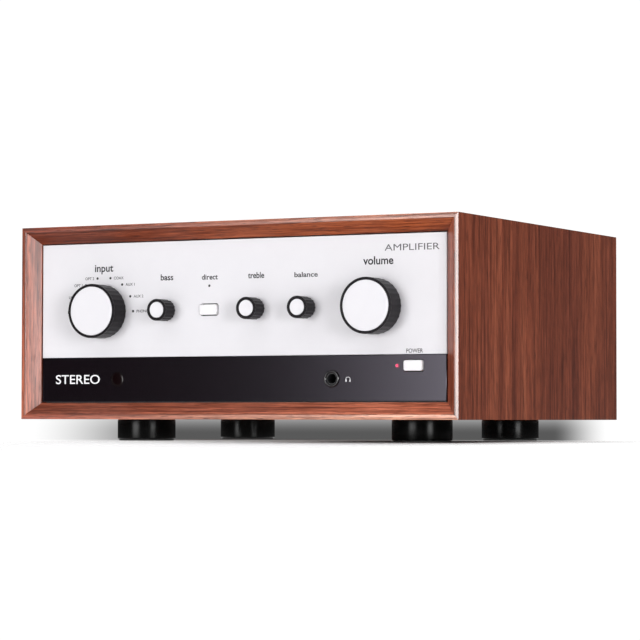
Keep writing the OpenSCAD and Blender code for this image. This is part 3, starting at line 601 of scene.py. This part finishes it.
BUTTON_W = 13 * MM
BUTTON_H = 6.8 * MM
BUTTON_GAP = 0.7 * MM
BUTTON_CORNER = 1.3 * MM
BUTTON_T = 6.4 * MM
BUTTON_STEM = 1.6 * MM
INPUT_LIGHTS = 8
LIGHT_ARC_R = 23 * MM
DIRECT_LIGHT_AT = (0.1 * MM, 15.7 * MM)


def button_hole(node):
    centre = middle(node)
    return rounded_outline(centre.x, centre.z, BUTTON_W + 2 * BUTTON_GAP, BUTTON_H + 2 * BUTTON_GAP,
                           BUTTON_CORNER + BUTTON_GAP)


def light_places():
    """Places (x, z) of the small lights: an arc around the input knob, and one above the direct button."""
    knob, button = middle("input_shaft"), middle("direct_button")
    places = []
    for index in range(INPUT_LIGHTS):
        angle = math.radians(-90 + 180 * index / (INPUT_LIGHTS - 1))
        places.append((knob.x + LIGHT_ARC_R * math.sin(angle), knob.z + LIGHT_ARC_R * math.cos(angle)))
    return places + [(button.x + DIRECT_LIGHT_AT[0], button.z + DIRECT_LIGHT_AT[1])]


# ---- Knobs ----

# Number of flutes and their depth
LARGE_KNOB = (30, 0.22 * MM)
SMALL_KNOB = (18, 0.34 * MM)
RIM_GAP = 0.12 * MM


def fluted(radius, flutes, depth, front):
    """A shape for a turned skirt: shallow round flutes that run out near its front rim."""
    def shape(r, along, angle):
        if r < 0.9 * radius:
            return r
        wave = abs(math.sin(flutes * angle / 2))
        run_out = min(1.0, max(0.0, (along - front - 0.3 * MM) / (1.2 * MM)))
        return r - depth * run_out * wave
    return shape


def build_knob(name, flutes, depth):
    low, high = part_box(name + "_knob")
    disc_low, disc_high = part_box(name + "_knob_disc")
    centre = middle(name + "_shaft")
    radius = (high.z - low.z) / 2
    disc_radius = (disc_high.x - disc_low.x) / 2
    front, back = low.y, high.y
    body = name + "_control"
    skirt = [(0, back), (radius - 1.0 * MM, back), (radius, back), (radius, front + 1.6 * MM),
             (radius, front + 1.1 * MM), (radius, front + 0.7 * MM), (radius, front),
             (disc_radius + RIM_GAP, front), (disc_radius + RIM_GAP, disc_high.y), (0, disc_high.y)]
    profile = round_corners(skirt, 0.45 * MM, 4)
    shape = fluted(radius, flutes, depth, front)
    mesh = turned_about(centre, name + "_knob_body", profile, flutes * 12, shape)
    place_piece(name + "_knob_body", mesh, MATERIALS["knob_black"], body, [name + "_knob"])
    face = [(0, disc_low.y + 0.12 * MM), (disc_radius * 0.8, disc_low.y + 0.07 * MM),
            (disc_radius, disc_low.y), (disc_radius, disc_high.y), (0, disc_high.y)]
    mesh = turned_about(centre, name + "_knob_face", round_corners(face, 0.25 * MM, 3), 128)
    place_piece(name + "_knob_face", mesh, MATERIALS["disc_silver"], body,
                [name + "_knob_disc"])


def build_knobs():
    for name in ("input", "volume"):
        build_knob(name, *LARGE_KNOB)
    for name in ("bass", "treble", "balance"):
        build_knob(name, *SMALL_KNOB)


# ---- Buttons, lights, window and headphone ring ----

def build_buttons():
    for node in ("direct_button", "power_button"):
        low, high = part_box(node)
        centre = middle(node)
        outline = rounded_outline(centre.x, centre.z, BUTTON_W, BUTTON_H, BUTTON_CORNER)
        bm = bmesh.new()
        bm.from_mesh(plate_mesh(node + "_cap", [outline], low.y, low.y + BUTTON_T, 0.45 * MM))
        soft_block(bm, (centre.x - BUTTON_STEM, low.y + BUTTON_T, centre.z - BUTTON_STEM),
                   (centre.x + BUTTON_STEM, high.y, centre.z + BUTTON_STEM), 0.2 * MM)
        place_piece(node + "_cap", mesh_from(bm, node + "_cap"), MATERIALS["button_white"],
                    BODY_OF[node], [node])


def build_front_details():
    fascia_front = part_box("fascia_plate")[0].y
    lens = [(0, -0.1), (0.55, -0.08), (0.86, -0.03), (0.86, 0.0), (0.6, 0.05), (0.6, 2.0)]
    profiles = [([(r * MM, fascia_front + along * MM) for r, along in lens], (x, 0, z), "Y")
                for x, z in light_places()]
    mesh = turned_mesh("light_lenses", profiles, 20)
    place_piece("light_lenses", mesh, MATERIALS["light_white"], CABINET)

    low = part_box("power_light")[0]
    centre = middle("power_light")
    dome = [(0, low.y - 0.15 * MM), (0.6 * MM, low.y), (0.92 * MM, low.y + 0.3 * MM),
            (1.02 * MM, low.y + 0.8 * MM), (1.02 * MM, low.y + 3 * MM)]
    mesh = turned_about(centre, "power_light_lens", round_corners(dome, 0.2 * MM), 32)
    place_piece("power_light_lens", mesh, MATERIALS["light_red"], CABINET)

    collar = [(1.05 * MM, low.y + 0.6 * MM), (1.05 * MM, low.y - 0.04 * MM), (1.5 * MM, low.y - 0.04 * MM),
              (1.5 * MM, low.y + 0.6 * MM)]
    mesh = turned_about(centre, "power_light_collar", collar, 32)
    place_piece("power_light_collar", mesh, MATERIALS["ring_black"], CABINET)

    low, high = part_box("remote_window")
    centre, radius = middle("remote_window"), (high.x - low.x) / 2
    lens = [(0, low.y + 0.25 * MM), (radius * 0.75, low.y + 0.3 * MM),
            (radius - 0.35 * MM, low.y + 0.5 * MM), (radius - 0.1 * MM, low.y),
            (radius, low.y + 0.2 * MM), (radius, high.y), (0, high.y)]
    mesh = turned_about(centre, "remote_window_lens", round_corners(lens, 0.2 * MM), 64)
    place_piece("remote_window_lens", mesh, MATERIALS["window_dark"], CABINET,
                ["remote_window"])

    low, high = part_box("headphone_ring")
    centre, radius = middle("headphone_ring"), (high.x - low.x) / 2
    ring = [(3.75 * MM, high.y), (3.75 * MM, low.y + 0.5 * MM), (4.3 * MM, low.y), (radius - 0.6 * MM, low.y),
            (radius, low.y + 0.6 * MM), (radius, high.y), (3.75 * MM, high.y)]
    mesh = turned_about(centre, "headphone_bezel", round_corners(ring, 0.2 * MM), 64)
    place_piece("headphone_bezel", mesh, MATERIALS["ring_black"], CABINET, ["headphone_ring"])


# ---- Feet ----

FOOT_R = 19.9 * MM
FOOT_EASE = 0.5 * MM


def build_feet():
    low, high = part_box("feet")
    pad_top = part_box("foot_pads")[1].z
    profiles = []
    skirt = [(0, pad_top), (FOOT_R, pad_top), (FOOT_R, high.z - FOOT_EASE), (FOOT_R - FOOT_EASE, high.z),
             (0, high.z)]
    for x in (low.x + FOOT_R, high.x - FOOT_R):
        for y in (low.y + FOOT_R, high.y - FOOT_R):
            profiles.append((round_corners(skirt, 0.9 * MM, 5), (x, y, 0), "Z"))
    mesh = turned_mesh("feet_moulded", profiles, 96)
    place_piece("feet_moulded", mesh, MATERIALS["foot_black"], CABINET, ["feet"])


# ---- Lettering: generic words only ----

INK_T = 0.02 * MM
FRONT, REAR = -1, 1
# Half the height of an input's name, and its distance from its light, in millimetres
NAME_HALF_H = 0.92
NAME_GAP = 2.7
INPUT_NAMES = ("BT", "USB", "OPT 1", "OPT 2", "COAX", "AUX 1", "AUX 2", "PHONO")


def word_mesh(text, side, x, width, base, top, surface, facing, weight=0.0):
    """One word on the surface y, with its letters from base up to top.

    side says what x is to the word: its left end (-1), its middle (0) or its right end (1). A width of
    zero keeps the letters' own width. facing is FRONT or REAR.
    """
    curve = bpy.data.curves.new(text, "FONT")
    curve.body = text
    curve.extrude = INK_T / 2
    curve.offset = weight
    mesh = curve_mesh(text, curve)
    left = min(vertex.co.x for vertex in mesh.vertices)
    own_width = max(vertex.co.x for vertex in mesh.vertices) - left
    up_scale = (top - base) / max(vertex.co.y for vertex in mesh.vertices)
    width = width or own_width * up_scale
    start = x + facing * width * (side + 1) / 2
    for vertex in mesh.vertices:
        across, up, depth = vertex.co
        vertex.co = (start - facing * (across - left) * width / own_width,
                     surface + facing * (INK_T / 2) + depth, base + up * up_scale)
    return mesh


def print_words(name, words, surface, facing, material, weight=0.0):
    """Joins words into one piece. Each is (text, side, x, width, base, top) in millimetres."""
    bm = bmesh.new()
    for text, side, *numbers in words:
        x, width, base, top = (number * MM for number in numbers)
        bm.from_mesh(word_mesh(text, side, x, width, base, top, surface, facing, weight))
    place_piece(name, mesh_from(bm, name), material, CABINET, smooth=False)


def build_front_words():
    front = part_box("fascia_plate")[0].y
    print_words("control_names", [("input", 0, -102.35, 14.5, 113.4, 118.0),
                                  ("bass", 0, -53.15, 9.7, 106.6, 110.55),
                                  ("direct", 0, -20.35, 12.1, 106.35, 109.75),
                                  ("treble", 0, 14.4, 12.05, 106.5, 110.3),
                                  ("balance", 0, 51.25, 17.1, 106.4, 109.6),
                                  ("volume", 0, 103.2, 21.45, 113.2, 118.35)],
                front, FRONT, EXTRA["ink_dark"], 0.02)
    words = []
    for text, (x, z) in zip(INPUT_NAMES, light_places()):
        side = 1 if x > middle("input_shaft").x else -1
        words.append((text, -side, x / MM + side * NAME_GAP, 0, z / MM - NAME_HALF_H, z / MM + NAME_HALF_H))
    words.append(("POWER", 0, 128.85, 11.7, 56.8, 59.4))
    print_words("input_names", words, front, FRONT, EXTRA["ink_dark"], 0.01)
    print_words("fascia_word", [("AMPLIFIER", 0, 127.0, 38.6, 121.6, 125.7)], front, FRONT,
                EXTRA["ink_grey"])
    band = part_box("lower_band")[0].y
    print_words("band_word", [("STEREO", 0, -122.9, 35.0, 38.3, 44.3)], band, FRONT, EXTRA["ink_white"],
                0.006)


def build_headphone_drawing():
    """A small drawing of headphones beside their socket: a headband and two ear cups."""
    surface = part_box("lower_band")[0].y
    x, z = 81.7 * MM, middle("headphone_ring").z - 0.6 * MM
    steps, outer, inner = 16, 1.75 * MM, 1.42 * MM
    angles = [math.pi * step / steps for step in range(steps + 1)]
    headband = [(x + outer * math.cos(a), z + outer * math.sin(a)) for a in angles]
    headband += [(x + inner * math.cos(a), z + inner * math.sin(a)) for a in reversed(angles)]
    cups = [rounded_outline(x + side * 1.42 * MM, z - 0.7 * MM, 0.75 * MM, 1.5 * MM, 0.25 * MM)
            for side in (-1, 1)]
    bm = bmesh.new()
    for outline in (headband, *cups):
        bm.from_mesh(plate_mesh("headphone_drawing", [outline], surface - INK_T, surface, 0))
    place_piece("headphone_drawing", mesh_from(bm, "headphone_drawing"), EXTRA["ink_white"],
                CABINET, smooth=False)


# ---- Rear: labels, insulators, caps, pins and screws ----

# Places on the rear panel in millimetres, as the CAD has them
PHONO_XS = (74, 92, 110, 128)
COAX_X = 52
OPTICAL_X = 32
USB_X = 10
GROUND_X = 128
LOWER_Z, UPPER_Z = 72, 90
TERMINALS = (("+", -22), ("-", -41), ("+", -66), ("-", -85))
INLET_PINS = ((-7, 50), (0, 54), (7, 50))
PIN_HALF_W, PIN_HALF_H = 1.06, 2.06
PIN_ROOT, PIN_TIP = 16, 5.6


def build_rear_words():
    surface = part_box("rear_panel")[1].y
    columns = (*PHONO_XS[::-1], COAX_X, OPTICAL_X)
    titles = ("PRE OUT", "AUX 2", "AUX 1", "PHONO", "COAX", "OPTICAL")
    words = [(text, 0, x, 0, 97.4, 99.5) for text, x in zip(titles, columns)]
    words += [("L", 0, 138.5, 0, 89, 91.2), ("R", 0, 138.5, 0, 71, 73.2), ("USB", 0, USB_X, 0, 87.2, 89.3),
              ("1", 0, 42, 0, 89, 91.2), ("2", 0, 42, 0, 71, 73.2), ("GROUND", 0, GROUND_X, 0, 41.2, 43.2),
              ("SPEAKERS", 0, -53.5, 0, 84, 86.8), ("L", 0, -31.5, 0, 78.5, 80.9),
              ("R", 0, -75.5, 0, 78.5, 80.9), ("AC INPUT", 0, -101.2, 0, 51, 52.9),
              ("POWER", 0, -102, 0, 83, 84.9)]
    words += [(sign, 0, x, 0, 54.0, 56.0 if sign == "+" else 54.4) for sign, x in TERMINALS]
    print_words("rear_names", words, surface, REAR, EXTRA["ink_white"], 0.004)


def build_phono_insulators():
    """The coloured plastic around the pin hole of each round socket, over the plain ring of the socket."""
    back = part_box("rear_panel")[1].y
    inner, outer, root, end = 1.57 * MM, 2.66 * MM, back + 1.6 * MM, back + 9.56 * MM
    ring = round_corners([(inner, root), (inner, end), (outer, end), (outer, root)], 0.25 * MM)
    sets = (("phono_insulators_left", PHONO_XS, (UPPER_Z,), "insulator_white"),
            ("phono_insulators_right", PHONO_XS, (LOWER_Z,), "insulator_red"),
            ("coax_insulators", (COAX_X,), (LOWER_Z, UPPER_Z), "insulator_orange"))
    for name, columns, rows, material in sets:
        profiles = [(ring, (x * MM, 0, z * MM), "Y") for x in columns for z in rows]
        place_piece(name, turned_mesh(name, profiles, 48), EXTRA[material], CABINET)


def build_speaker_caps():
    """A fluted grip for each terminal cap, with flutes that run out before its rear end."""
    for index in range(1, len(TERMINALS) + 1):
        node = "speaker_cap_%d" % index
        low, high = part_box(node)
        centre = (low + high) / 2
        radius, bore, flutes, depth = (high.z - low.z) / 2, 4.08 * MM, 12, 0.75 * MM

        def shape(r, along, angle):
            if r < 0.85 * radius:
                return r
            wave = max(0.0, math.cos(flutes * angle)) ** 1.4
            run_out = min(1.0, max(0.0, (high.y - 0.6 * MM - along) / (0.8 * MM)))
            return r - depth * wave * run_out

        wall = [(radius, low.y + (high.y - low.y) * step / 12) for step in range(13)]
        outline = round_corners([(bore, low.y), *wall, (bore + 1.6 * MM, high.y), (bore, high.y - 0.6 * MM),
                                 (bore, low.y)], 0.4 * MM, 3)
        mesh = turned_about(centre, node + "_grip", outline, 120, shape)
        slot = "cap_red" if index % 2 else "cap_black"
        place_piece(node + "_grip", mesh, MATERIALS[slot], BODY_OF[node], [node])


def build_inlet_pins():
    """Rounded blades in the mains inlet, each over the plain one of the inlet."""
    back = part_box("mains_inlet")[1].y
    centre_x = middle("mains_inlet").x
    bm = bmesh.new()
    for x, z in INLET_PINS:
        soft_block(bm, (centre_x + (x - PIN_HALF_W) * MM, back - PIN_ROOT * MM, (z - PIN_HALF_H) * MM),
                   (centre_x + (x + PIN_HALF_W) * MM, back - PIN_TIP * MM, (z + PIN_HALF_H) * MM), 0.35 * MM)
    place_piece("inlet_pins", mesh_from(bm, "inlet_pins"), MATERIALS["bright_steel"], CABINET)


REAR_SCREWS = ((-146, 40), (-146, 105), (146, 40), (146, 105), (-60, 32.7), (60, 32.7))
BOARD_SCREWS = [(x, y) for x in (-17, 42, 101) for y in (-57, 93)]
PCB_T = 1.6 * MM


def crossed_screw():
    """One cross-recessed pan-head screw along Z, with the underside of its head at zero."""
    head_r, head_h, shank_r, shank = 2.75 * MM, 1.8 * MM, 1.5 * MM, 6 * MM
    outline = round_corners([(0, head_h), (head_r, head_h), (head_r, 0), (shank_r, 0), (shank_r, -shank),
                             (0, -shank)], 0.8 * MM, 5)
    screw = bpy.data.objects.new("screw", turned_mesh("screw", [(outline, (0, 0, 0), "Z")], 32))
    bpy.context.scene.collection.objects.link(screw)
    long, narrow, deep = 1.5 * MM, 0.32 * MM, 1.1 * MM
    cut_slots(screw, [((-wide, -tall, head_h - deep), (wide, tall, head_h + MM))
                      for wide, tall in ((long, narrow), (narrow, long))])
    mesh = screw.data
    bpy.data.objects.remove(screw)
    return mesh


def build_screws():
    """Six screws in the rear panel, and six that hold the main board on its standoffs."""
    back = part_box("rear_panel")[1].y
    board_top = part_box("main_board")[0].z + PCB_T
    to_rear = Matrix.Rotation(math.radians(-90), 4, "X")
    seats = [Matrix.Translation((x * MM, back, z * MM)) @ to_rear for x, z in REAR_SCREWS]
    seats += [Matrix.Translation((x * MM, y * MM, board_top)) for x, y in BOARD_SCREWS]
    screw = crossed_screw()
    bm = bmesh.new()
    for seat in seats:
        screw.transform(seat)
        bm.from_mesh(screw)
        screw.transform(seat.inverted())
    place_piece("panel_screws_crossed", mesh_from(bm, "panel_screws_crossed"), MATERIALS["bright_steel"],
                CABINET, ["panel_screws"])


# ---- Other CAD nodes keep their shape and get their slot's material ----

def dress_nodes():
    slots = {entry["node"]: entry["material_slot"] for entry in RECORD["subparts"]}
    for node, piece in frame["nodes"].items():
        piece.data.materials.clear()
        piece.data.materials.append(MATERIALS[slots[node]])


# ---- Stage ----

FLOOR_R = 0.7
# Where the floor gives way to the backdrop. Each pair is where a fade begins and ends: by the distance
# outside the footprint, by the place along Y behind the middle, and along X at the left and at the right.
# The floor is partly clear under the cabinet's left half. These suit the one viewing angle below.
FLOOR_FADE = (0.26, 0.46)
FLOOR_REAR = (0.02, 0.09)
FLOOR_LEFT = (-0.16, 0.06)
FLOOR_RIGHT = (0.17, 0.24)
FOOTPRINT = (0.163, 0.133)
FLOOR_DARK = (0.595, 0.59, 0.595)
FLOOR_PALE = (0.605, 0.60, 0.605)

# Softboxes of the studio. Each is a radiance, then four azimuths and four elevations in degrees: where its
# edge starts and is full, and where it falls off and ends. Azimuth 0 is straight in front of the fascia and
# turns towards the cabinet's right side.
SOFTBOXES = (
    (12.0, (-29, -18, -6.5, 4.5), (-8, -2, 8, 14)),
    (14.0, (45, 50, 62, 67), (-8, -3, 11, 16)),
    (0.7, (-60, -40, 30, 50), (22, 32, 56, 68)),
    (0.5, (-182, -181, 181, 182), (36, 58, 91, 92)),
    (4.0, (110, 140, 181, 182), (28, 42, 80, 88)),
    (9.0, (-172, -150, -100, -75), (18, 28, 44, 56)),
)
BACKDROP = 1.05
# A shade in the backdrop low behind the cabinet, laid out as a softbox is. Only camera rays see it: it
# stands in for a soft shadow between the feet, and no light or object casts it.
BACKDROP_PAINTED_SHADOW = (-0.95, (-158.4, -157.1, -149.2, -145.6), (-0.50, -0.455, -0.33, 0.60))
DIM = 0.05
UPWARD_GLOW = 0.8


class Studio:
    """The world: softboxes for the light, a white backdrop for the camera."""

    def __init__(self):
        self.world = bpy.data.worlds.new("studio")
        self.world.use_nodes = True
        self.tree = self.world.node_tree
        self.tree.nodes.clear()
        direction = self.tree.nodes.new("ShaderNodeTexCoord").outputs["Generated"]
        split = self.tree.nodes.new("ShaderNodeSeparateXYZ")
        self.tree.links.new(direction, split.inputs["Vector"])
        forward = self.math("MULTIPLY", split.outputs["Y"], -1.0)
        turn = self.math("ARCTAN2", split.outputs["X"], forward)
        rise = self.math("ARCSINE", split.outputs["Z"])
        self.azimuth = self.math("MULTIPLY", turn, math.degrees(1))
        self.elevation = self.math("MULTIPLY", rise, math.degrees(1))

    def math(self, operation, *values):
        node = self.tree.nodes.new("ShaderNodeMath")
        node.operation = operation
        for socket, value in zip(node.inputs, values):
            if isinstance(value, bpy.types.NodeSocket):
                self.tree.links.new(value, socket)
            else:
                socket.default_value = value
        return node.outputs[0]

    def step(self, value, start, end, low=0.0, high=1.0):
        node = self.tree.nodes.new("ShaderNodeMapRange")
        node.interpolation_type = "SMOOTHSTEP"
        self.tree.links.new(value, node.inputs["Value"])
        for name, number in (("From Min", start), ("From Max", end), ("To Min", low), ("To Max", high)):
            node.inputs[name].default_value = number
        return node.outputs["Result"]

    def window(self, value, start, full, fading, end):
        return self.math("MULTIPLY", self.step(value, start, full), self.step(value, fading, end, 1.0, 0.0))

    def box(self, radiance, azimuths, elevations):
        across = self.window(self.azimuth, *azimuths)
        upright = self.window(self.elevation, *elevations)
        return self.math("MULTIPLY", self.math("MULTIPLY", across, upright), radiance)

    def background(self, strength):
        node = self.tree.nodes.new("ShaderNodeBackground")
        node.inputs["Color"].default_value = (1, 1, 1, 1)
        self.tree.links.new(strength, node.inputs["Strength"])
        return node.outputs["Background"]

    def finish(self):
        light = self.step(self.elevation, -8, -3, UPWARD_GLOW, DIM)
        for softbox in SOFTBOXES:
            light = self.math("ADD", light, self.box(*softbox))
        backdrop = self.math("ADD", BACKDROP, self.box(*BACKDROP_PAINTED_SHADOW))
        blend = self.tree.nodes.new("ShaderNodeMixShader")
        path = self.tree.nodes.new("ShaderNodeLightPath")
        output = self.tree.nodes.new("ShaderNodeOutputWorld")
        self.tree.links.new(path.outputs["Is Camera Ray"], blend.inputs["Fac"])
        self.tree.links.new(self.background(light), blend.inputs[1])
        self.tree.links.new(self.background(backdrop), blend.inputs[2])
        self.tree.links.new(blend.outputs["Shader"], output.inputs["Surface"])
        bpy.context.scene.world = self.world


def floor_material():
    """White paper that fades into the white backdrop away from the amplifier."""
    shader = Shader("floor_white")
    fine = shader.noise(shader.stretched((40, 40, 40)), detail=4.0)
    shader.link(shader.ramp(fine, [(0.3, FLOOR_DARK), (0.7, FLOOR_PALE)]), "Base Color")
    shader.link(shader.bump(fine, 0.00001), "Normal")
    shader.set(Roughness=0.9, Specular_IOR_Level=0.0)
    kind = "ShaderNodeVectorMath"
    mirrored = shader.add(kind, {0: shader.coordinates}, operation="ABSOLUTE").outputs["Vector"]
    beyond = shader.add(kind, {0: mirrored, 1: (*FOOTPRINT, 0)}, operation="SUBTRACT").outputs["Vector"]
    outside = shader.add(kind, {0: beyond, 1: (0, 0, 0)}, operation="MAXIMUM").outputs["Vector"]
    away = shader.add(kind, {0: outside}, operation="LENGTH").outputs["Value"]
    place = shader.add("ShaderNodeSeparateXYZ", {"Vector": shader.coordinates}).outputs
    shown = shader.remap(away, 1.0, 0.0, *FLOOR_FADE)
    for fade in (shader.remap(place["Y"], 1.0, 0.0, *FLOOR_REAR),
                 shader.remap(place["X"], 0.0, 1.0, *FLOOR_LEFT),
                 shader.remap(place["X"], 1.0, 0.0, *FLOOR_RIGHT)):
        shown = shader.add("ShaderNodeMath", {0: shown, 1: fade}, operation="MULTIPLY").outputs[0]
    shader.link(shown, "Alpha")
    return shader.material


def build_stage():
    bm = bmesh.new()
    turn_profile(bm, [(0, 0), (FLOOR_R, 0)], (0, 0, 0), "Z", 96)
    mesh = mesh_from(bm, "floor")
    floor = bpy.data.objects.new("floor", mesh)
    bpy.context.scene.collection.objects.link(floor)
    mesh.materials.append(floor_material())
    Studio().finish()


LENS = 150.85
# The eye, from the floor below the middle of the sleeve's front edge, and where it looks, in degrees
EYE = (0.8648, -1.51245, 0.01546)
YAW, PITCH, ROLL = 27.85, 2.096, 0.084
KNOBS_PROUD = 8 * MM


def build_camera():
    """The viewing angle: an eye level close to the surface that the amplifier stands on, from its right."""
    camera = bpy.data.cameras.new("camera")
    holder = bpy.data.objects.new("camera", camera)
    camera.sensor_width = 36
    camera.lens = LENS
    camera.clip_end = 50
    front = cad_box[0][1] + KNOBS_PROUD
    holder.location = (EYE[0], front + EYE[1], EYE[2])
    yaw, pitch, roll = (math.radians(angle) for angle in (YAW, PITCH, ROLL))
    forward = Vector((-math.cos(pitch) * math.sin(yaw), math.cos(pitch) * math.cos(yaw), math.sin(pitch)))
    turn = forward.to_track_quat("-Z", "Y").to_matrix()
    holder.rotation_euler = (turn @ Matrix.Rotation(roll, 3, "Z")).to_euler()
    bpy.context.scene.collection.objects.link(holder)
    bpy.context.scene.camera = holder


build_camera()
dress_nodes()
build_sleeve()
build_front_plates()
build_knobs()
build_buttons()
build_front_details()
build_feet()
build_front_words()
build_headphone_drawing()
build_rear_words()
build_phono_insulators()
build_speaker_caps()
build_inlet_pins()
build_screws()
build_stage()
bpy.context.scene.view_settings.view_transform = "Standard"
